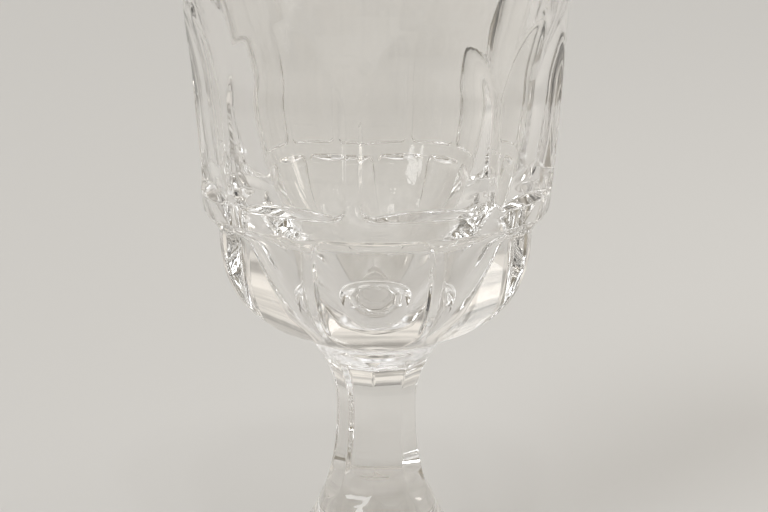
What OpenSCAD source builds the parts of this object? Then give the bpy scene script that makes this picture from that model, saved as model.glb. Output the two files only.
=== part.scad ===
// Cut crystal goblet in clear, colourless glass.
// Three pieces of glass meet face to face: the bowl, the stem and the foot.
// Two staggered rows of flat panels are cut round the bowl, with a plain band between
// them, and narrow flutes run down the stem. The origin is the middle of the resting face.

/* [Whole glass] */
// Height from the table to the rim
glass_h = 147; // [142:1:154]
// Height of the face where the bowl meets the stem
bowl_joint_h = 58; // [56:1:60]
// Height of the face where the stem meets the foot
foot_joint_h = 14; // [12:1:16]

/* [Bowl] */
// Outside diameter at the rim
rim_d = 83; // [80:1:88]
// Outside diameter of the plain band between the two rows of panels
band_d = 74; // [73:0.5:76]
// Height of the lower edge of the band
band_h = 89.3; // [88:0.1:90.5]
// Width of the band
band_w = 4.1; // [3:0.1:5]
// Outside diameter at the top of the round belly
belly_d = 69.6; // [68:0.2:71]
// Thickness of the wall at the rim, before its edge is rounded
rim_wall = 3; // [2.8:0.1:4]
// Inside diameter where the inside begins to close
cavity_d = 61.2; // [58:0.2:62]
// Height below which the inside closes round
cavity_start_h = 118; // [114:1:122]
// Height of the lowest point inside the bowl
cavity_floor_h = 71.5; // [69:0.5:74]

/* [Panels] */
// Number of panels in each row round the bowl
panel_count = 8; // [6:1:10]
// Width of the plain land between two panels, in degrees round the axis
land_angle = 4; // [3:0.5:6]
// Height of the top of the arches on the upper panels
arch_top_h = 133; // [130:1:136]
// Height of an arch above the straight sides of its panel
arch_rise = 24; // [16:1:26]
// Direction of one land of the upper row, in degrees
upper_direction = -142; // [-180:1:180]
// Direction of one land of the lower row, in degrees
lower_direction = -113.5; // [-180:0.5:180]

/* [Stem] */
// Diameter at the narrowest place
stem_d = 17.4; // [16.4:0.2:19]
// Height of the narrowest place
stem_narrow_h = 45; // [43:1:47]
// Number of flutes round the stem
flute_count = 9; // [7:1:10]
// Direction of one edge between two flutes, in degrees
flute_direction = -134; // [-180:1:180]

/* [Foot] */
// Diameter of the foot
foot_d = 74; // [70:1:78]
// Thickness of the foot at its edge
foot_edge = 3.4; // [3:0.1:4]

/* [Hidden] */
$fn = 96;

glass_colour = [0.92, 0.93, 0.92, 0.45];
stem_r = stem_d / 2;
foot_r = foot_d / 2;
rim_r = rim_d / 2;
band_r = band_d / 2;
belly_r = belly_d / 2;
cavity_r = cavity_d / 2;

// How far a cutter reaches past the glass
clear = 6;

// Radius of the uncut wall above the band at height h: a slight barrel curve up to the rim
wall_bulge = 0.85;
function wall_at(h) =
    band_r + (rim_r - band_r) * pow(max(0, h - band_h) / (glass_h - band_h), wall_bulge);

// Radius of the uncut belly at height h: part of an ellipse that closes just
// above the joint, where the outline already runs straight to the stem
belly_step = 3.3;
belly_top = band_h - belly_step;
belly_drop = -0.8;
belly_rise = belly_top - bowl_joint_h + belly_drop;
belly_power = 2.25;
function belly_at(h) =
    belly_r * pow(1 - pow((belly_top - h) / belly_rise, belly_power), 1 / belly_power);

// Radius of the uncut bowl at height h, with a short slope between the belly and the band
function bowl_at(h) =
    h <= belly_top ? belly_at(h)
    : h < band_h ? belly_r + (band_r - belly_r) * (h - belly_top) / belly_step
    : wall_at(h);

// Radius of the uncut stem at height h. It gains width towards each joint, by a power
// of the share of the way to that joint.
foot_gain = 9.8;
foot_power = 2.4;
bowl_gain = 4.1;
bowl_power = 2.3;
function stem_at(h) =
    h < stem_narrow_h
    ? stem_r + foot_gain * pow((stem_narrow_h - h) / (stem_narrow_h - foot_joint_h), foot_power)
    : stem_r + bowl_gain * pow((h - stem_narrow_h) / (bowl_joint_h - stem_narrow_h), bowl_power);

joint_r = stem_at(bowl_joint_h);
foot_joint_r = stem_at(foot_joint_h);

// Evenly spaced values from a to b, both ends included
function steps(a, b, n) = [for (i = [0 : n]) a + (b - a) * i / n];

// A quarter turn of an ellipse about [x, y] with half axes a and b, from angle p to angle q
function arc(x, y, a, b, p, q, n) = [for (t = steps(p, q, n)) [x + a * cos(t), y + b * sin(t)]];

// ---- Bowl ----

// First height at which the belly is wider than the joint
belly_start = bowl_joint_h + 2.4;
belly_heights = [for (t = steps(0, 1, 9)) belly_start + (belly_top - belly_start) * pow(t, 1.5)];
wall_heights = steps(band_h, glass_h - rim_wall / 2, 6);

// Outline of half the bowl's section, from the joint, up the outside and down the inside
bowl_outline = concat(
    [[0, bowl_joint_h], [joint_r, bowl_joint_h]],
    [for (h = concat(belly_heights, wall_heights)) [bowl_at(h), h]],
    arc(rim_r - rim_wall / 2, glass_h - rim_wall / 2, rim_wall / 2, rim_wall / 2, 20, 160, 6),
    [[rim_r - rim_wall, glass_h - rim_wall / 2]],
    arc(0, cavity_start_h, cavity_r, cavity_start_h - cavity_floor_h, 0, -90, 12)
);

half_panel = 180 / panel_count - land_angle / 2;

// Share of a panel's full depth at a distance past the straight part of its outline.
// It falls as a square, and goes below zero past the end, so the cutter leaves the glass.
function fade(past, length) = 1 - pow(max(0, past) / length, 2);

// Distance from the axis of a flat panel that spans the angle half to each side
function cut_r(r, half, share) = r * (1 - (1 - cos(half)) * share);

// A prism that cuts one flat panel: the profile is a list of [radius, height]
// from the bottom to the top, and everything outside it is taken away.
module cutter(profile, width) {
    top = profile[len(profile) - 1];
    bottom = profile[0];
    rotate([90, 0, 0])
        linear_extrude(width, center = true)
            polygon(concat(
                profile,
                [[rim_r + clear, top[1]], [rim_r + clear, bottom[1]]]
            ));
}

// Repeats its child round the axis, halfway between the lands
module around(count, first) {
    for (i = [0 : count - 1])
        rotate(first + (i + 0.5) * 360 / count)
            children();
}

arch_spring = arch_top_h - arch_rise;

// Height of the rounded corners of a panel, and the shares of it at which a profile has
// a point. The first lies a little outside the panel.
corner_h = 3;
corner_shares = [-0.13, 0.2, 0.53, 1];

// Distance past a rounded end at which the next point of a profile lies
next_point = 4;
upper_bottom = band_h + band_w;
upper_heights = concat(
    [for (t = corner_shares) upper_bottom + corner_h * t],
    [upper_bottom + corner_h + next_point, arch_spring],
    [for (t = steps(0.2, 1.1, 7)) arch_spring + arch_rise * t]
);
function upper_share(h) =
    min(fade(h - arch_spring, arch_rise), fade(upper_bottom + corner_h - h, corner_h));
upper_profile = [for (h = upper_heights) [cut_r(bowl_at(h), half_panel, upper_share(h)), h]];

lower_top = band_h - 0.2;
lower_bottom = belly_start + 0.2;
lower_reach = 9;
lower_heights = concat(
    [for (t = steps(0, 1, 9))
        lower_bottom + (lower_top - corner_h - lower_bottom) * pow(t, 1.4)],
    [for (i = [2, 1, 0]) lower_top - corner_h * corner_shares[i]]
);
function lower_share(h) =
    min(
        fade(lower_bottom + lower_reach - h, lower_reach),
        fade(h - lower_top + corner_h, corner_h)
    );
lower_profile = [for (h = lower_heights) [cut_r(bowl_at(h), half_panel, lower_share(h)), h]];

module bowl() {
    panel_w = 2 * rim_r * sin(180 / panel_count) + clear;
    color(glass_colour)
        difference() {
            rotate_extrude() polygon(bowl_outline);
            around(panel_count, upper_direction) cutter(upper_profile, panel_w);
            around(panel_count, lower_direction) cutter(lower_profile, panel_w);
        }
}

// ---- Stem ----

stem_heights = steps(foot_joint_h, bowl_joint_h, 16);
stem_outline = concat(
    [[0, foot_joint_h]],
    [for (h = stem_heights) [stem_at(h), h]],
    [[0, bowl_joint_h]]
);

half_flute = 180 / flute_count - 0.5;
flute_top = bowl_joint_h - 0.6;
flute_top_end = 2.4;
flute_bottom = foot_joint_h + 11.2;
flute_bottom_end = 3.6;
flute_heights = concat(
    [for (t = steps(-0.1, 1, 4)) flute_bottom + flute_bottom_end * t],
    steps(
        flute_bottom + flute_bottom_end + next_point,
        flute_top - flute_top_end - next_point / 2,
        4
    ),
    [for (t = steps(1, 0, 3)) flute_top - flute_top_end * t]
);
function flute_share(h) =
    min(
        fade(h - flute_top + flute_top_end, flute_top_end),
        fade(flute_bottom + flute_bottom_end - h, flute_bottom_end)
    );
flute_profile = [for (h = flute_heights) [cut_r(stem_at(h), half_flute, flute_share(h)), h]];

module stem() {
    color(glass_colour)
        difference() {
            rotate_extrude() polygon(stem_outline);
            around(flute_count, flute_direction) cutter(flute_profile, 2 * stem_r);
        }
}

// ---- Foot ----

// Width of the flat ring that the glass rests on, and how far it lies inside the edge
rest_width = 4;
rest_inset = 3;
// Height of the hollow under the foot
hollow_h = 1.8;
rest_out = foot_r - rest_inset;
rest_in = rest_out - rest_width;

// The upper side runs from the stem to the edge as a curve with one pull at each end
function curve(a, b, c, d, n) = [
    for (t = steps(0, 1, n))
        pow(1 - t, 3) * a + 3 * t * pow(1 - t, 2) * b + 3 * t * t * (1 - t) * c + pow(t, 3) * d
];
edge_r = foot_edge / 2;
edge_start = [foot_r - edge_r, foot_edge];
stem_pull = [foot_joint_r + 4, foot_joint_h - 7];
edge_pull = [foot_r - 14, foot_edge + 1.2];

foot_outline = concat(
    [[0, foot_joint_h]],
    curve([foot_joint_r, foot_joint_h], stem_pull, edge_pull, edge_start, 10),
    arc(foot_r - edge_r, edge_r, edge_r, edge_r, 60, -30, 4),
    [[rest_out, 0], [rest_in, 0]],
    [for (t = steps(0.2, 1, 5)) [rest_in * (1 - t), hollow_h * (1 - pow(1 - t, 2))]]
);

module foot() {
    color(glass_colour)
        rotate_extrude() polygon(foot_outline);
}

bowl();
stem();
foot();
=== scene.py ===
"""Cut crystal goblet: the looks of its bowl, stem and foot, on a studio floor.

The glass is made of three pieces that are fused hot: bowl, stem and foot. Each piece is a closed
surface worked out from a radius that depends on the height and on the angle round the axis.
"""

import math

import bpy
import numpy as np
from bpy.props import FloatProperty, FloatVectorProperty, IntProperty, PointerProperty
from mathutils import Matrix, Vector


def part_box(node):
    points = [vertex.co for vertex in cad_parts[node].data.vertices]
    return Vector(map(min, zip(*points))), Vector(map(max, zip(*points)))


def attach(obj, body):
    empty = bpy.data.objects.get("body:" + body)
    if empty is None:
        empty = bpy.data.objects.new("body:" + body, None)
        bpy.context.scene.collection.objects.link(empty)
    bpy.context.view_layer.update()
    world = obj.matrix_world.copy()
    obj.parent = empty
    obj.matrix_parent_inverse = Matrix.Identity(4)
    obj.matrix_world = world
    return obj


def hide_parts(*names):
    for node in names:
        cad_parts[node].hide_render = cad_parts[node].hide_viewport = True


bl_info = {
    "name": "Cut crystal goblet",
    "version": (1, 0, 0),
    "blender": (4, 5, 0),
    "location": "3D View > Sidebar > Goblet",
    "description": "Builds a panelled crystal goblet and a plain studio round it",
    "category": "Object",
}

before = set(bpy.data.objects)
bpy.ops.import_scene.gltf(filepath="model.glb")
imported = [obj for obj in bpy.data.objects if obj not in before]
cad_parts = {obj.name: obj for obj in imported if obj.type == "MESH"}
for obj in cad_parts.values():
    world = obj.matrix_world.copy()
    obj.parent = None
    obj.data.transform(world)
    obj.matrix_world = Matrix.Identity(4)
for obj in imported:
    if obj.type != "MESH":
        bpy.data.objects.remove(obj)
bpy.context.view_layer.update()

MM = 0.001

# How far from an edge between two cuts the columns of a mesh are closer together
EDGE_REACH = math.radians(4)

# Height above the bottom of the cavity of the first ring of its mesh
FIRST_RING = 0.02 * MM

# Points at which a line is sampled to space the rows or columns of a mesh
SAMPLES = 2000


def node_top(name):
    """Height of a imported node's highest point, in metres."""
    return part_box(name)[1][2]


def node_bottom(name):
    """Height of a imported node's lowest point, in metres."""
    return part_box(name)[0][2]


def node_radius(name):
    """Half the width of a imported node, in metres."""
    low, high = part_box(name)
    return (high[0] - low[0]) / 2


RIM_HEIGHT = node_top("bowl")
BOWL_JOINT = node_bottom("bowl")
FOOT_JOINT = node_bottom("stem")
RIM_RADIUS = node_radius("bowl")
FOOT_RADIUS = node_radius("foot")


# ---- Settings ----


def length(name, text, value):
    """A property that holds a length, given here in millimetres."""
    return FloatProperty(
        name=name, description=text, default=value * MM, unit="LENGTH", subtype="DISTANCE"
    )


def angle(name, text, degrees):
    """A property that holds an angle, given here in degrees."""
    return FloatProperty(
        name=name, description=text, default=math.radians(degrees), unit="ROTATION", subtype="ANGLE"
    )


def colour(name, text, value):
    """A property that holds a linear colour."""
    return FloatVectorProperty(
        name=name, description=text, default=value, size=3, min=0, max=1, subtype="COLOR"
    )


def factor(name, text, value):
    """A property that holds a plain number."""
    return FloatProperty(name=name, description=text, default=value)


def count(name, text, value):
    """A property that holds a whole number."""
    return IntProperty(name=name, description=text, default=value, min=1)


class GobletBowl(bpy.types.PropertyGroup):
    """Sizes of the bowl and of the panels cut round it."""

    band_radius: length("Band radius", "Uncut radius of the wall at the plain band", 36.8)
    belly_radius: length("Belly radius", "Uncut radius at the top of the round belly", 34.8)
    wall_curve: factor("Wall curve", "Power of the wall's barrel curve, 1 is a straight cone", 0.85)
    belly_power: factor("Belly power", "Power of the belly's ellipse, higher is squarer", 2.25)
    belly_top: length("Belly top", "Height at which the belly stands upright", 86.0)
    belly_close: length("Belly close", "Height at which the belly's ellipse would close", 58.8)
    band_low: length("Band low", "Height of the lower edge of the plain band", 89.3)
    band_high: length("Band high", "Height of the upper edge of the plain band", 93.4)
    panels: count("Panels", "Number of panels in each row", 8)
    land: angle("Land", "Width of the plain land between two panels", 4.0)
    turn: angle("Turn", "Direction of one land of the upper row", -142.0)
    lower_turn: angle("Lower turn", "Direction of one land of the lower row", -113.5)
    sink: length("Sink", "Depth of the step along the sides of a panel", 0.3)
    arch_top: length("Arch top", "Height of the top of the arches", 133.0)
    arch_rise: length("Arch rise", "Height of an arch above the straight sides of its panel", 24.0)
    corner: length("Corner", "Radius of the round corners of the panels", 3.4)
    ledge: factor("Ledge", "How steeply a panel's end drops from the band, 1 is 45 degrees", 1.7)
    lower_end: length("Lower end", "Height at which the lower panels run out", 60.6)
    edge: length("Edge", "How far the polish rounds the edges of the cuts", 0.2)
    floor: length("Floor", "Height of the lowest point inside the bowl", 71.5)
    cavity_start: length("Cavity start", "Height below which the inside closes round", 118.0)
    cavity_power: factor("Cavity power", "Power of the inside's ellipse", 2.0)
    cavity_radius: length("Cavity radius", "Inside radius where it begins to close", 30.6)
    rim_wall: length("Rim wall", "Thickness of the wall at the rim", 3.0)


class GobletStem(bpy.types.PropertyGroup):
    """Sizes of the stem and of the flutes cut down it."""

    radius: length("Radius", "Uncut radius at the narrowest place", 8.65)
    narrow: length("Narrow", "Height of the narrowest place", 45.0)
    foot_gain: length("Foot gain", "Radius gained from the narrowest place to the foot", 9.8)
    foot_power: factor("Foot power", "Power of the gain towards the foot", 2.4)
    bowl_gain: length("Bowl gain", "Radius gained from the narrowest place to the bowl", 4.1)
    bowl_power: factor("Bowl power", "Power of the gain towards the bowl", 2.3)
    turn: angle("Turn", "Direction of one edge between two flutes", -134.0)
    flutes: count("Flutes", "Number of flutes round the stem", 9)
    flute_top: length("Flute top", "Height of the top end of the flutes", 57.4)
    flute_bottom: length("Flute bottom", "Height of the bottom end of the flutes", 25.2)
    top_end: length("Top end", "Length of the round top ends of the flutes", 2.4)
    bottom_end: length("Bottom end", "Length of the round bottom ends of the flutes", 3.6)


class GobletFoot(bpy.types.PropertyGroup):
    """Sizes of the foot."""

    edge: length("Edge", "Thickness of the foot at its edge", 3.4)
    rest_out: length("Rest outside", "How far the resting ring lies inside the edge", 3.0)
    rest_width: length("Rest width", "Width of the resting ring", 4.0)
    hollow: length("Hollow", "Height of the hollow under the foot", 1.8)
    stem_pull: length("Stem pull", "How far the upper side holds the stem's slope", 6.5)
    edge_pull: length("Edge pull", "How far in the upper side starts to level out", 12.0)
    edge_rise: length("Edge rise", "How far it stands above the edge there", 1.3)


class GobletGlass(bpy.types.PropertyGroup):
    """Finish of the glass."""

    clear: colour("Clear", "What the clearest glass lets through", (0.985, 0.981, 0.975))
    deep: colour("Deep", "What the streaks in the glass let through", (0.955, 0.947, 0.93))
    dull: factor("Dull", "Roughness where the polish is duller", 0.015)
    waves: length("Waves", "Height of the waves that the polishing left", 0.015)
    bend: factor("Bend", "Refractive index of the glass", 1.545)
    wear_reach: length("Wear reach", "How far the scratches reach from where it is touched", 1.2)


class GobletStudio(bpy.types.PropertyGroup):
    """Camera, light and floor."""

    lens: FloatProperty(name="Lens", description="Focal length", default=117.2, unit="CAMERA")
    reach: length("Reach", "Distance from the camera to the axis of the glass", 535.0)
    pitch: angle("Pitch", "How far the camera looks down", 13.5)
    aim: length("Aim", "Height at which the middle of the view crosses the axis", 77.8)
    aside: length("Aside", "How far the camera stands to the right", 1.6)
    floor_radius: length("Floor radius", "Radius of the floor", 6000.0)
    # Strength of the painted pool of light: the floor glows under the foot in place of the light
    # that the glass gathers there
    pool: factor("Pool", "Light that the glass gathers on the floor under its foot", 0.22)
    floor_colour: colour("Floor colour", "Colour of the floor", (0.70, 0.692, 0.675))


# ---- Surfaces ----


def soft_min(a, b, blend):
    """The smaller of a and b, with the corner between them rounded: where they differ by less
    than blend, the result dips under both by up to a quarter of blend."""
    near = np.clip(0.5 + 0.5 * (b - a) / blend, 0, 1)
    return b + (a - b) * near - blend * near * (1 - near)


def soft_max(a, b, blend):
    """The larger of a and b, with the corner between them filled in the same way."""
    return -soft_min(-a, -b, blend)


def ease(t):
    """Runs from 0 to 1 with level ends: three t squared less two t cubed."""
    t = np.clip(t, 0, 1)
    return t * t * (3 - 2 * t)


def round_end(t, power):
    """Depth of a cut near its end, as a share of its full depth: the root of one less the power
    of what remains to its straight part, squared. Past its end it falls below zero, so that the
    cut leaves the glass."""
    inside = np.clip(t, 0, 1)
    share = (1 - (1 - inside) ** power) ** (2 / power)
    fall = 6
    return np.where(t < 0, fall * t, share)


def spaced(profile, low, high, steps, weight=None):
    """Heights from low to high that are evenly spaced along the profile's line, or closer where
    weight is higher. The last height is left out, so that stretches can be joined."""
    fine = np.linspace(low, high, SAMPLES)
    run = np.hypot(np.gradient(profile(fine)), np.gradient(fine))
    if weight is not None:
        run = run * weight(fine)
    along = np.cumsum(run)
    along = (along - along[0]) / (along[-1] - along[0])
    return np.interp(np.linspace(0, 1, steps + 1), along, fine)[:-1]


def sector_angles(turn, sectors, steps, places, reach):
    """Angles round the axis, in equal sectors that start at turn, with steps in each. The steps
    are up to three times closer near each of the places, which are angles from a sector's start."""
    pitch = 2 * np.pi / sectors
    fine = np.linspace(0, pitch, SAMPLES)
    density = np.ones_like(fine)
    for place in places:
        away = (fine - place + pitch / 2) % pitch - pitch / 2
        density += 2 * np.exp(-((away / reach) ** 2))
    along = np.cumsum(density)
    along = (along - along[0]) / (along[-1] - along[0])
    inside = np.interp(np.arange(steps) / steps, along, fine)
    return turn + (np.arange(sectors)[:, None] * pitch + inside[None, :]).ravel()


def off_centre(angles, turn, sectors):
    """How far an angle lies from the middle of its own sector."""
    pitch = 2 * np.pi / sectors
    return (angles - turn) % pitch - pitch / 2


def flat_face(radius):
    """Radii of the two rings inside the rim of a flat face: a third and two thirds of its own."""
    return radius * np.array([1, 2]) / 3


def round_rings(radii, columns):
    """Rings that are truly round: each radius repeated over all the columns."""
    return np.repeat(np.asarray(radii)[:, None], columns, axis=1)


def closed_shell(name, radii, heights, angles):
    """A closed mesh from rings: radii have one row for each ring and one column for each angle,
    and heights one value for each ring. The first and last rings close on a point on the axis."""
    rows, columns = radii.shape
    x = radii * np.cos(angles)
    y = radii * np.sin(angles)
    z = np.broadcast_to(heights[:, None], radii.shape)
    rings = np.stack([x, y, z], axis=-1).reshape(-1, 3)
    poles = np.array([[0, 0, z[0].mean()], [0, 0, z[-1].mean()]])
    points = np.vstack([rings, poles])
    row = np.arange(rows - 1)[:, None] * columns
    here = np.arange(columns)[None, :]
    after = (here + 1) % columns
    sides = np.stack(
        [row + here, row + after, row + columns + after, row + columns + here], axis=-1
    ).reshape(-1, 4)
    first = np.full(columns, rows * columns)
    last = first + 1
    top = (rows - 1) * columns
    start = np.stack([first, after[0], here[0]], axis=-1)
    end = np.stack([last, top + here[0], top + after[0]], axis=-1)
    corners = np.concatenate([start.ravel(), sides.ravel(), end.ravel()])
    sizes = np.concatenate([np.full(columns, 3), np.full(len(sides), 4), np.full(columns, 3)])
    mesh = bpy.data.meshes.new(name)
    mesh.vertices.add(len(points))
    mesh.vertices.foreach_set("co", points.ravel())
    mesh.loops.add(len(corners))
    mesh.loops.foreach_set("vertex_index", corners.astype(np.int32))
    mesh.polygons.add(len(sizes))
    starts = np.concatenate([[0], np.cumsum(sizes)[:-1]])
    mesh.polygons.foreach_set("loop_start", starts.astype(np.int32))
    mesh.update(calc_edges=True)
    mesh.validate()
    return mesh


def make_piece(name, mesh, skin, joint, joint_heights):
    """Puts a mesh in the scene with a smooth glass skin. Its flat faces at the joint heights take
    the clear joint material, because glass that is fused has no surface there."""
    piece = bpy.data.objects.new(name, mesh)
    bpy.context.scene.collection.objects.link(piece)
    mesh.materials.append(skin)
    mesh.materials.append(joint)
    faces = len(mesh.polygons)
    centres = np.empty(faces * 3)
    mesh.polygons.foreach_get("center", centres)
    normals = np.empty(faces * 3)
    mesh.polygons.foreach_get("normal", normals)
    height = centres.reshape(-1, 3)[:, 2]
    almost_upright = 0.999
    level = np.abs(normals.reshape(-1, 3)[:, 2]) > almost_upright
    at_joint = np.zeros(faces, dtype=bool)
    close = 0.001 * MM
    for joint_height in joint_heights:
        at_joint |= level & (np.abs(height - joint_height) < close)
    mesh.polygons.foreach_set("material_index", at_joint.astype(np.int32))
    mesh.polygons.foreach_set("use_smooth", np.ones(faces, dtype=bool))
    crease = math.radians(40)
    mesh.set_sharp_from_angle(angle=crease)
    mesh.update()
    return piece


# ---- Outlines ----


def wall_radius(h, bowl):
    """Uncut wall: the band's radius plus a share of the gain to the rim, which is a power of the
    height above the band's lower edge."""
    share = np.clip(h - bowl.band_low, 0, None) / (RIM_HEIGHT - bowl.band_low)
    return bowl.band_radius + (RIM_RADIUS - bowl.band_radius) * share**bowl.wall_curve


def belly_radius(h, bowl):
    """Uncut belly: a superellipse whose widest place is the belly's top."""
    drop = np.clip((bowl.belly_top - h) / (bowl.belly_top - bowl.belly_close), 0, 1)
    return bowl.belly_radius * (1 - drop**bowl.belly_power) ** (1 / bowl.belly_power)


def stem_radius(h, stem):
    """Uncut stem: the narrowest radius plus a gain towards each joint, which is a power of the
    share of the way to that joint."""
    below = np.clip(stem.narrow - h, 0, None) / (stem.narrow - FOOT_JOINT)
    above = np.clip(h - stem.narrow, 0, None) / (BOWL_JOINT - stem.narrow)
    down = stem.foot_gain * below**stem.foot_power
    return stem.radius + down + stem.bowl_gain * above**stem.bowl_power


def neck_radius(h, bowl, stem):
    """Where the stem runs into the belly: the larger of the two with a soft fillet, so that both
    pieces have one radius and one slope at their joint."""
    fillet = 1.6 * MM
    straight = stem_radius(np.minimum(h, BOWL_JOINT), stem)
    slope = stem.bowl_power * stem.bowl_gain / (BOWL_JOINT - stem.narrow)
    fades = 3 * MM
    ahead = straight + slope * fades * (1 - np.exp(-np.clip(h - BOWL_JOINT, 0, None) / fades))
    return soft_max(ahead, belly_radius(h, bowl), fillet)


def bowl_outline(h, bowl, stem):
    """Uncut outside of the bowl: neck and belly below the band, wall above it, and an eased step
    between them just under the band."""
    step = ease((h - bowl.belly_top) / (bowl.band_low - bowl.belly_top))
    below = neck_radius(h, bowl, stem)
    return below + (wall_radius(h, bowl) - below) * step


def inside_edge(across, half_width, up, corner):
    """How far a point lies inside a cut with straight sides, one straight end and round corners:
    the corner's radius less the distance past the corner's centre."""
    side = np.abs(across) - half_width + corner
    end = corner - up
    past = np.hypot(np.clip(side, 0, None), np.clip(end, 0, None))
    return corner - past - np.minimum(np.maximum(side, end), 0)


def cut_radius(outline, half, share, off):
    """Distance from the axis to a flat cut: the outline less the depth that a cut of that half
    angle has, over the cosine of the angle from the middle of the cut."""
    return outline * (1 - (1 - math.cos(half)) * share) / np.cos(off)


def bowl_outside(h, angles, bowl, stem):
    """Outside of the bowl: the uncut outline, cut by the flat panels of the upper row and of the
    lower row, each as the softer smaller one of the two."""
    outline = bowl_outline(h, bowl, stem)
    half = math.pi / bowl.panels - bowl.land / 2
    spring = bowl.arch_top - bowl.arch_rise
    lower_run = 9 * MM
    arch = 1 - (np.clip(h - spring, 0, None) / bowl.arch_rise) ** 2
    taper = round_end((h - bowl.lower_end) / lower_run, power=2)
    upper = (arch, h - bowl.band_high, bowl.turn)
    lower = (taper, bowl.band_low - h, bowl.lower_turn)
    radius = outline
    for share, up, turn in (upper, lower):
        off = off_centre(angles, turn, bowl.panels)
        flat = cut_radius(outline, half, share, off) - bowl.sink * np.clip(share, 0, 1)
        inside = inside_edge(outline * off, outline * half, up, bowl.corner)
        ledge = outline - bowl.ledge * inside
        radius = soft_min(radius, soft_max(flat, ledge, bowl.edge), bowl.edge)
    return radius


def cavity_radius(h, bowl):
    """Inside of the bowl: a wall that widens to the rim, closed below by a superellipse."""
    top = RIM_RADIUS - bowl.rim_wall
    rise = np.clip(h - bowl.cavity_start, 0, None) / (RIM_HEIGHT - bowl.cavity_start)
    wall = bowl.cavity_radius + (top - bowl.cavity_radius) * rise
    drop = np.clip((bowl.cavity_start - h) / (bowl.cavity_start - bowl.floor), 0, 1)
    return wall * (1 - drop**bowl.cavity_power) ** (1 / bowl.cavity_power)


def stem_outside(h, angles, bowl, stem):
    """Outside of the stem: the uncut outline, cut by flat flutes that end round."""
    outline = neck_radius(h, bowl, stem)
    off = off_centre(angles, stem.turn, stem.flutes)
    ridge = math.radians(0.4)
    half = math.pi / stem.flutes - ridge
    share = np.minimum(
        round_end((stem.flute_top - h) / stem.top_end, power=2.4),
        round_end((h - stem.flute_bottom) / stem.bottom_end, power=2),
    )
    cut = cut_radius(outline, half, share, off)
    well_past, clear_of_glass = -0.6, 10 * MM
    cut = np.where(share < well_past, outline + clear_of_glass, cut)
    flute_edge = bowl.edge * 0.6
    return soft_min(outline, cut, flute_edge)


def foot_line(bowl, stem, foot):
    """Half of the foot's section, from the middle of its underside outwards and up to the stem.
    The upper side is a cubic curve: its start follows the stem's slope, its end the edge. The
    edge is an arc, and the hollow is a parabola inside the resting ring."""
    joint_r = float(neck_radius(FOOT_JOINT, bowl, stem))
    slope = stem.foot_power * stem.foot_gain / (stem.narrow - FOOT_JOINT)
    half = foot.edge / 2
    start = np.array([joint_r, FOOT_JOINT])
    end = np.array([FOOT_RADIUS - half, foot.edge])
    start_pull = start + np.array([slope, -1]) * foot.stem_pull
    end_pull = end + np.array([-foot.edge_pull, foot.edge_rise])
    t = np.linspace(0, 1, 60)[:, None]
    upper = (
        (1 - t) ** 3 * start
        + 3 * t * (1 - t) ** 2 * start_pull
        + 3 * t * t * (1 - t) * end_pull
        + t**3 * end
    )
    span = math.radians(84)
    turn = np.linspace(span, -span, 16)[:, None]
    centre = np.array([FOOT_RADIUS - half, half])
    edge = centre + half * np.hstack([np.cos(turn), np.sin(turn)])
    rest_out = FOOT_RADIUS - foot.rest_out
    rest_in = rest_out - foot.rest_width
    ring = np.array([[rest_out, 0], [(rest_out + rest_in) / 2, 0], [rest_in, 0]])
    inwards = np.linspace(0, 1, 30)[1:-1, None]
    under = np.hstack([rest_in * (1 - inwards), foot.hollow * (1 - (1 - inwards) ** 2)])
    face = flat_face(joint_r)
    top = np.stack([face, np.full_like(face, FOOT_JOINT)], axis=-1)
    return np.vstack([top, upper, edge, ring, under])[::-1]


# ---- Materials ----

# Places of the colour sockets on a Mix node: the first and second input, and the result
MIX_FIRST, MIX_SECOND, MIX_RESULT = 6, 7, 2


def set_inputs(tree, node, inputs):
    """Gives each input of a node its value or, where a socket is passed, a link from it."""
    for label, value in inputs.items():
        if isinstance(value, bpy.types.NodeSocket):
            tree.links.new(value, node.inputs[label])
        else:
            node.inputs[label].default_value = value


def add_node(tree, kind, inputs, **settings):
    """A new shader node with its own settings and its inputs."""
    node = tree.nodes.new("ShaderNode" + kind)
    for label, value in settings.items():
        setattr(node, label, value)
    set_inputs(tree, node, inputs)
    return node


def colour_mix(tree, share, first, second, **settings):
    """A colour between two others, by a share."""
    inputs = {"Factor": share, MIX_FIRST: first, MIX_SECOND: second}
    return add_node(tree, "Mix", inputs, data_type="RGBA", **settings).outputs[MIX_RESULT]


def drawn_out(tree, position, share):
    """A position whose height counts by a share only, so that a pattern on it runs upright."""
    inputs = {0: position, 1: (1, 1, share)}
    return add_node(tree, "VectorMath", inputs, operation="MULTIPLY").outputs[0]


def open_group(name, inputs, outputs):
    """A new node group: inputs have a name, a kind and a first value, outputs a name and kind."""
    tree = bpy.data.node_groups.new(name, "ShaderNodeTree")
    for label, kind, value in inputs:
        socket = tree.interface.new_socket(name=label, in_out="INPUT", socket_type=kind)
        if value is not None:
            socket.default_value = value
    for label, kind in outputs:
        tree.interface.new_socket(name=label, in_out="OUTPUT", socket_type=kind)
    given = tree.nodes.new("NodeGroupInput").outputs
    return tree, given, tree.nodes.new("NodeGroupOutput")


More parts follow.
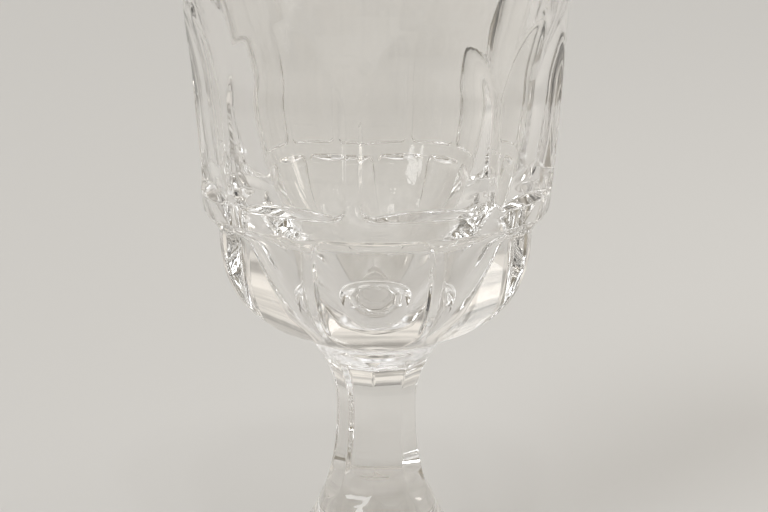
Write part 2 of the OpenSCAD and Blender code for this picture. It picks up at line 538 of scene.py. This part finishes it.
def streaks_group():
    """Faint streaks in the melt: a drawn-out noise that runs between two tints."""
    name = "melt_streaks"
    if name in bpy.data.node_groups:
        return bpy.data.node_groups[name]
    inputs = (
        ("Position", "NodeSocketVector", None),
        ("Scale", "NodeSocketFloat", 60.0),
        ("Clear", "NodeSocketColor", (1, 1, 1, 1)),
        ("Deep", "NodeSocketColor", (1, 1, 1, 1)),
    )
    tree, given, result = open_group(name, inputs, (("Colour", "NodeSocketColor"),))
    upright = drawn_out(tree, given["Position"], 0.15)
    pattern = {"Vector": upright, "Scale": given["Scale"], "Detail": 3, "Distortion": 0.8}
    noise = add_node(tree, "TexNoise", pattern)
    tint = colour_mix(tree, noise.outputs["Fac"], given["Clear"], given["Deep"])
    set_inputs(tree, result, {"Colour": tint})
    return tree


def polish_group():
    """Hand polish: smears where the gloss is a little duller, and low waves left upright by the
    polishing wheel."""
    name = "hand_polish"
    if name in bpy.data.node_groups:
        return bpy.data.node_groups[name]
    inputs = (
        ("Position", "NodeSocketVector", None),
        ("Smear Scale", "NodeSocketFloat", 90.0),
        ("Wave Scale", "NodeSocketFloat", 260.0),
        ("Clean", "NodeSocketFloat", 0.0),
        ("Dull", "NodeSocketFloat", 0.02),
    )
    outputs = (("Roughness", "NodeSocketFloat"), ("Height", "NodeSocketFloat"))
    tree, given, result = open_group(name, inputs, outputs)
    place, scale = given["Position"], given["Smear Scale"]
    pattern = {"Vector": place, "Scale": scale, "Detail": 5, "Distortion": 1.5}
    smear = add_node(tree, "TexNoise", pattern)
    span = {"From Min": 0.52, "From Max": 0.78, "To Min": given["Clean"], "To Max": given["Dull"]}
    dull = add_node(tree, "MapRange", {"Value": smear.outputs["Fac"], **span})
    upright = drawn_out(tree, place, 0.08)
    pattern = {"Vector": upright, "Scale": given["Wave Scale"], "Detail": 1}
    waves = add_node(tree, "TexNoise", pattern)
    finish = {"Roughness": dull.outputs["Result"], "Height": waves.outputs["Fac"]}
    set_inputs(tree, result, finish)
    return tree


def wear_group():
    """Wear where the glass touches things: fine scratches near one height, as a mask."""
    name = "contact_wear"
    if name in bpy.data.node_groups:
        return bpy.data.node_groups[name]
    inputs = (
        ("Position", "NodeSocketVector", None),
        ("Height", "NodeSocketFloat", 0.0),
        ("Reach", "NodeSocketFloat", 0.001),
        ("Scratch Scale", "NodeSocketFloat", 900.0),
    )
    tree, given, result = open_group(name, inputs, (("Mask", "NodeSocketFloat"),))
    place = given["Position"]
    height = add_node(tree, "SeparateXYZ", {0: place}).outputs["Z"]
    away = add_node(tree, "Math", {0: height, 1: given["Height"]}, operation="SUBTRACT")
    distance = add_node(tree, "Math", {0: away.outputs[0]}, operation="ABSOLUTE").outputs[0]
    span = {"From Max": given["Reach"], "To Min": 1, "To Max": 0}
    near = add_node(tree, "MapRange", {"Value": distance, **span})
    pattern = {"Scale": given["Scratch Scale"], "Detail": 6, "Distortion": 4}
    scratch = add_node(tree, "TexNoise", {"Vector": place, **pattern})
    span = {"From Min": 0.45, "From Max": 0.6}
    marks = add_node(tree, "MapRange", {"Value": scratch.outputs["Fac"], **span})
    both = {0: near.outputs["Result"], 1: marks.outputs["Result"]}
    mask = add_node(tree, "Math", both, operation="MULTIPLY")
    set_inputs(tree, result, {"Mask": mask.outputs[0]})
    return tree


def open_material(name):
    """A new material, with its tree and its shader."""
    material = bpy.data.materials.new(name)
    material.use_nodes = True
    tree = material.node_tree
    return material, tree, tree.nodes["Principled BSDF"]


def glass_material(name, glass, smears, waves, worn_height, worn):
    """Clear polished glass with faint streaks, smears and waves, scratched near the height at
    which the piece is touched. Smears and waves are scales, worn is the roughness of a scratch."""
    material, tree, shader = open_material(name)
    place = tree.nodes.new("ShaderNodeTexCoord").outputs["Object"]
    tints = {"Clear": (*glass.clear, 1), "Deep": (*glass.deep, 1), "Scale": smears}
    streaks = add_node(tree, "Group", {"Position": place, **tints}, node_tree=streaks_group())
    finish = {"Smear Scale": smears, "Wave Scale": waves, "Dull": glass.dull}
    polish = add_node(tree, "Group", {"Position": place, **finish}, node_tree=polish_group())
    contact = {"Height": worn_height, "Reach": glass.wear_reach}
    wear = add_node(tree, "Group", {"Position": place, **contact}, node_tree=wear_group())
    scratched = {0: wear.outputs["Mask"], 1: worn, 2: polish.outputs["Roughness"]}
    rough = add_node(tree, "Math", scratched, operation="MULTIPLY_ADD")
    relief = {"Distance": glass.waves, "Height": polish.outputs["Height"]}
    bump = add_node(tree, "Bump", relief)
    skin = {
        "IOR": glass.bend,
        "Transmission Weight": 1.0,
        "Base Color": streaks.outputs["Colour"],
        "Roughness": rough.outputs[0],
        "Normal": bump.outputs["Normal"],
    }
    set_inputs(tree, shader, skin)
    return material


def joint_material():
    """The fused face between two pieces: nothing can be seen of it, so it is wholly clear."""
    name = "fused_joint"
    if name in bpy.data.materials:
        return bpy.data.materials[name]
    material, tree, shader = open_material(name)
    set_inputs(tree, shader, {"Alpha": 0.0, "Roughness": 0.0})
    return material


# ---- Operators ----


class GOBLET_OT_bowl(bpy.types.Operator):
    """Builds the bowl with its two rows of panels"""

    bl_idname = "goblet.bowl"
    bl_label = "Bowl"

    def execute(self, context):
        scene = context.scene
        bowl, stem = scene.goblet_bowl, scene.goblet_stem

        def outline(h):
            return bowl_outline(h, bowl, stem)

        def cavity(h):
            return cavity_radius(h, bowl)

        def near_band(h):
            """Six times closer rows at each of the two ledges beside the band."""
            ledges = (bowl.band_low - 0.6 * MM, bowl.band_high + 0.6 * MM)
            return 1 + sum(5 * np.exp(-(((h - at) / MM) ** 2)) for at in ledges)

        stagger = bowl.lower_turn - bowl.turn
        edges = (0, stagger)
        angles = sector_angles(bowl.turn, bowl.panels, steps=50, places=edges, reach=EDGE_REACH)
        columns = len(angles)
        lip = bowl.rim_wall / 2
        shoulder = RIM_HEIGHT - lip
        below_band = bowl.belly_top - 2 * MM
        above_band = bowl.band_high + 5 * MM
        belly_rows = spaced(outline, BOWL_JOINT, below_band, steps=60)
        band_rows = spaced(outline, below_band, above_band, steps=58, weight=near_band)
        wall_rows = spaced(outline, above_band, shoulder, steps=70)
        outside = np.concatenate([belly_rows, band_rows, wall_rows])
        cavity_rows = spaced(cavity, bowl.floor + FIRST_RING, shoulder, steps=42)
        inside = np.concatenate([cavity_rows, [shoulder]])[::-1]
        lip_turn = np.linspace(0, math.pi, 9)[1:-1]
        lip_middle = (outline(shoulder) + cavity(shoulder)) / 2
        lip_half = (outline(shoulder) - cavity(shoulder)) / 2
        wall = bowl_outside(outside[:, None], angles[None, :], bowl, stem)
        joint_r = float(outline(BOWL_JOINT))
        face = round_rings(flat_face(joint_r), columns)
        edge = round_rings(lip_middle + lip_half * np.cos(lip_turn), columns)
        cup = round_rings(cavity(inside), columns)
        edge_heights = shoulder + lip * np.sin(lip_turn)
        heights = np.concatenate([[BOWL_JOINT] * 2, outside, edge_heights, inside])
        mesh = closed_shell("bowl_piece", np.vstack([face, wall, edge, cup]), heights, angles)
        skin = glass_material(
            "bowl_crystal",
            scene.goblet_glass,
            smears=70,
            waves=240,
            worn_height=RIM_HEIGHT,
            worn=0.08,
        )
        piece = make_piece("bowl_piece", mesh, skin, joint_material(), [BOWL_JOINT])
        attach(piece, "root")
        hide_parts("bowl")
        return {"FINISHED"}


class GOBLET_OT_stem(bpy.types.Operator):
    """Builds the stem with its flutes"""

    bl_idname = "goblet.stem"
    bl_label = "Stem"

    def execute(self, context):
        scene = context.scene
        bowl, stem = scene.goblet_bowl, scene.goblet_stem

        def outline(h):
            return neck_radius(h, bowl, stem)

        angles = sector_angles(stem.turn, stem.flutes, steps=32, places=(0,), reach=EDGE_REACH)
        columns = len(angles)
        side_rows = spaced(outline, FOOT_JOINT, BOWL_JOINT, steps=190)
        side = np.concatenate([side_rows, [BOWL_JOINT]])
        wall = stem_outside(side[:, None], angles[None, :], bowl, stem)
        low = round_rings(flat_face(float(outline(FOOT_JOINT))), columns)
        high = round_rings(flat_face(float(outline(BOWL_JOINT)))[::-1], columns)
        heights = np.concatenate([[FOOT_JOINT] * 2, side, [BOWL_JOINT] * 2])
        mesh = closed_shell("stem_piece", np.vstack([low, wall, high]), heights, angles)
        skin = glass_material(
            "stem_crystal",
            scene.goblet_glass,
            smears=110,
            waves=320,
            worn_height=BOWL_JOINT,
            worn=0,
        )
        joints = [FOOT_JOINT, BOWL_JOINT]
        piece = make_piece("stem_piece", mesh, skin, joint_material(), joints)
        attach(piece, "root")
        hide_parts("stem")
        return {"FINISHED"}


class GOBLET_OT_foot(bpy.types.Operator):
    """Builds the foot with its hollow underside"""

    bl_idname = "goblet.foot"
    bl_label = "Foot"

    def execute(self, context):
        scene = context.scene
        bowl, stem, foot = scene.goblet_bowl, scene.goblet_stem, scene.goblet_foot
        columns = 192
        angles = np.arange(columns) * 2 * np.pi / columns
        line = foot_line(bowl, stem, foot)
        radii = round_rings(line[:, 0], columns)
        mesh = closed_shell("foot_piece", radii, line[:, 1], angles)
        skin = glass_material(
            "foot_crystal",
            scene.goblet_glass,
            smears=60,
            waves=200,
            worn_height=0,
            worn=0.3,
        )
        piece = make_piece("foot_piece", mesh, skin, joint_material(), [FOOT_JOINT])
        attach(piece, "root")
        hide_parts("foot")
        return {"FINISHED"}


class GOBLET_OT_studio(bpy.types.Operator):
    """Builds the floor, the light and the camera"""

    bl_idname = "goblet.studio"
    bl_label = "Studio"

    def execute(self, context):
        scene = context.scene
        studio = scene.goblet_studio
        build_camera(scene, studio)
        build_floor(scene, studio)
        build_world(scene)
        build_lights(scene)
        scene.view_settings.view_transform = "Standard"
        scene.cycles.max_bounces = 32
        scene.cycles.transmission_bounces = 32
        scene.cycles.glossy_bounces = 16
        scene.cycles.transparent_max_bounces = 32
        return {"FINISHED"}


# ---- Studio ----


def build_camera(scene, studio):
    """Camera in front of the glass, looking down on it by the pitch."""
    data = bpy.data.cameras.new("camera")
    data.sensor_width = 36
    data.lens = studio.lens
    data.clip_start = 0.01
    data.clip_end = 50
    camera = bpy.data.objects.new("camera", data)
    back = studio.reach * math.cos(studio.pitch)
    up = studio.reach * math.sin(studio.pitch)
    camera.location = (studio.aside, -back, studio.aim + up)
    camera.rotation_euler = (math.pi / 2 - studio.pitch, 0, 0)
    scene.collection.objects.link(camera)
    scene.camera = camera


def floor_material(studio):
    """Pale matt floor, with a painted pool of warm light under the foot: the floor glows there,
    standing in for the light that the glass gathers, and the glow fades out round the foot's edge."""
    material, tree, shader = open_material("floor")
    place = tree.nodes.new("ShaderNodeTexCoord").outputs["Object"]
    away = add_node(tree, "VectorMath", {0: place}, operation="LENGTH").outputs["Value"]
    span = {"From Min": FOOT_RADIUS * 0.9, "From Max": FOOT_RADIUS * 1.05, "To Min": 1, "To Max": 0}
    # Mask of the painted pool of light: 1 under the foot, fading to 0 round its edge
    pool = add_node(tree, "MapRange", {"Value": away, **span}, interpolation_type="SMOOTHSTEP")
    # Colour of the painted glow under the foot, and no glow outside it
    dark, painted_glow_colour = (0, 0, 0, 1), (1, 0.95, 0.87, 1)
    finish = {
        "Base Color": (*studio.floor_colour, 1),
        "Roughness": 0.9,
        "Specular IOR Level": 0.1,
        "Emission Color": colour_mix(tree, pool.outputs["Result"], dark, painted_glow_colour),
        "Emission Strength": studio.pool,
    }
    set_inputs(tree, shader, finish)
    return material


def build_floor(scene, studio):
    """A wide disc, a hair below the foot so that the two faces don't touch."""
    corners = 128
    angles = np.arange(corners) * 2 * np.pi / corners
    level = np.zeros(corners)
    rim = np.stack([np.cos(angles), np.sin(angles), level], axis=-1) * studio.floor_radius
    mesh = bpy.data.meshes.new("floor")
    mesh.from_pydata(rim.tolist(), [], [list(range(corners))])
    mesh.materials.append(floor_material(studio))
    floor = bpy.data.objects.new("floor", mesh)
    floor.location.z = -0.05 * MM
    scene.collection.objects.link(floor)


# Shades of the surroundings from level (0) to straight up (1), behind the goblet and on the
# side of the camera. Each has the height at which it is reached.
SHADES_BEHIND = (
    (0.0, (0.60, 0.572, 0.53)),
    (0.22, (0.79, 0.745, 0.68)),
    (0.7, (0.67, 0.635, 0.585)),
    (0.88, (1.1, 1.08, 1.05)),
    (0.97, (1.2, 1.2, 1.2)),
)
SHADES_BEFORE = (
    (0.0, (0.46, 0.42, 0.36)),
    (0.22, (0.27, 0.235, 0.175)),
    (0.7, (0.27, 0.24, 0.19)),
    (0.88, (1.0, 0.99, 0.97)),
    (0.97, (1.2, 1.2, 1.2)),
)

# Direction of the lighter side of the room, and the shade of a card that stands in front
LIGHT_SIDE = (0.35, 0.94, 0)
CARD_SHADE = (0.03, 0.03, 0.035, 1)


def shade_ramp(tree, height, shades):
    """The shades of one side of the room, by height."""
    ramp = add_node(tree, "ValToRGB", {"Fac": height})
    stops = ramp.color_ramp.elements
    stops[0].color = (*shades[0][1], 1)
    stops[1].color = (*shades[-1][1], 1)
    stops[1].position = shades[-1][0]
    for reached, shade in shades[1:-1]:
        stops.new(reached).color = (*shade, 1)
    return ramp.outputs["Color"]


def build_world(scene):
    """Soft light from all round: one run of shades by height for the side behind the goblet, one
    for the side of the camera, with faint patches over both and a dark card in front."""
    world = bpy.data.worlds.new("studio")
    world.use_nodes = True
    tree = world.node_tree
    place = tree.nodes.new("ShaderNodeTexCoord").outputs["Generated"]
    split = add_node(tree, "SeparateXYZ", {0: place}).outputs
    light_side = add_node(tree, "VectorMath", {0: place, 1: LIGHT_SIDE}, operation="DOT_PRODUCT")
    span = {"Value": light_side.outputs["Value"], "From Min": 0.3, "From Max": -0.7}
    side = add_node(tree, "MapRange", span, interpolation_type="SMOOTHSTEP").outputs["Result"]
    behind = shade_ramp(tree, split["Z"], SHADES_BEHIND)
    before = shade_ramp(tree, split["Z"], SHADES_BEFORE)
    plain = colour_mix(tree, side, behind, before)
    patches = add_node(tree, "TexNoise", {"Vector": place, "Scale": 7, "Detail": 3})
    span = {"From Min": 0.38, "From Max": 0.6, "To Min": 0.4, "To Max": 1.25}
    depth = add_node(tree, "MapRange", {"Value": patches.outputs["Fac"], **span})
    room = colour_mix(tree, 1, plain, depth.outputs["Result"], blend_type="MULTIPLY")
    span = {"Value": split["Y"], "From Min": -0.93, "From Max": -0.98}
    card = add_node(tree, "MapRange", span, interpolation_type="SMOOTHSTEP").outputs["Result"]
    carded = colour_mix(tree, card, room, CARD_SHADE)
    set_inputs(tree, tree.nodes["Background"], {"Color": carded})
    scene.world = world


def add_lamp(scene, name, place, size, power, shade):
    """A round lamp at a place, turned to face the bowl."""
    data = bpy.data.lights.new(name, "AREA")
    data.shape = "DISK"
    data.size = size
    data.energy = power
    data.color = shade
    lamp = bpy.data.objects.new(name, data)
    lamp.location = place
    facing = Vector((0, 0, 0.08)) - Vector(place)
    lamp.rotation_euler = facing.to_track_quat("-Z", "Y").to_euler()
    scene.collection.objects.link(lamp)


def build_lights(scene):
    """A soft distant key from the left front, one lamp at the right, and a cluster of four small
    lamps above the camera."""
    data = bpy.data.lights.new("key", "SUN")
    data.energy = 0.85
    data.angle = math.radians(26)
    data.color = (0.96, 0.98, 1.0)
    key = bpy.data.objects.new("key", data)
    towards = Vector((0.61, 0.79, -0.73))
    key.rotation_euler = towards.to_track_quat("-Z", "Y").to_euler()
    scene.collection.objects.link(key)
    right = (0.66, 0.2, 0.38)
    add_lamp(scene, "right", right, size=0.22, power=0.7, shade=(1, 0.96, 0.9))
    x, y, z = 0.12, -0.9, 1.6
    apart = 0.09
    for step_x, step_z in ((-1, -1), (1, -1), (-1, 1), (1, 1)):
        place = (x + apart * step_x, y, z + apart * step_z)
        add_lamp(scene, "lamp", place, size=0.045, power=0.5, shade=(1, 1, 1))


# ---- Add-on ----


class GOBLET_PT_panel(bpy.types.Panel):
    """Lists the goblet's pieces"""

    bl_idname = "GOBLET_PT_panel"
    bl_label = "Goblet"
    bl_space_type = "VIEW_3D"
    bl_region_type = "UI"
    bl_category = "Goblet"

    def draw(self, context):
        for operator in OPERATORS:
            self.layout.operator(operator.bl_idname)


SETTINGS = {
    "goblet_bowl": GobletBowl,
    "goblet_stem": GobletStem,
    "goblet_foot": GobletFoot,
    "goblet_glass": GobletGlass,
    "goblet_studio": GobletStudio,
}
OPERATORS = (GOBLET_OT_bowl, GOBLET_OT_stem, GOBLET_OT_foot, GOBLET_OT_studio)


def register():
    """Registers the settings, the operators and the panel."""
    for name, group in SETTINGS.items():
        bpy.utils.register_class(group)
        setattr(bpy.types.Scene, name, PointerProperty(type=group))
    for operator in OPERATORS:
        bpy.utils.register_class(operator)
    bpy.utils.register_class(GOBLET_PT_panel)


def unregister():
    """Takes back what register did."""
    bpy.utils.unregister_class(GOBLET_PT_panel)
    for operator in reversed(OPERATORS):
        bpy.utils.unregister_class(operator)
    for name, group in SETTINGS.items():
        delattr(bpy.types.Scene, name)
        bpy.utils.unregister_class(group)


def main():
    """Builds the goblet and its studio."""
    register()
    bpy.ops.goblet.studio()
    bpy.ops.goblet.bowl()
    bpy.ops.goblet.stem()
    bpy.ops.goblet.foot()


if __name__ == "__main__":
    main()
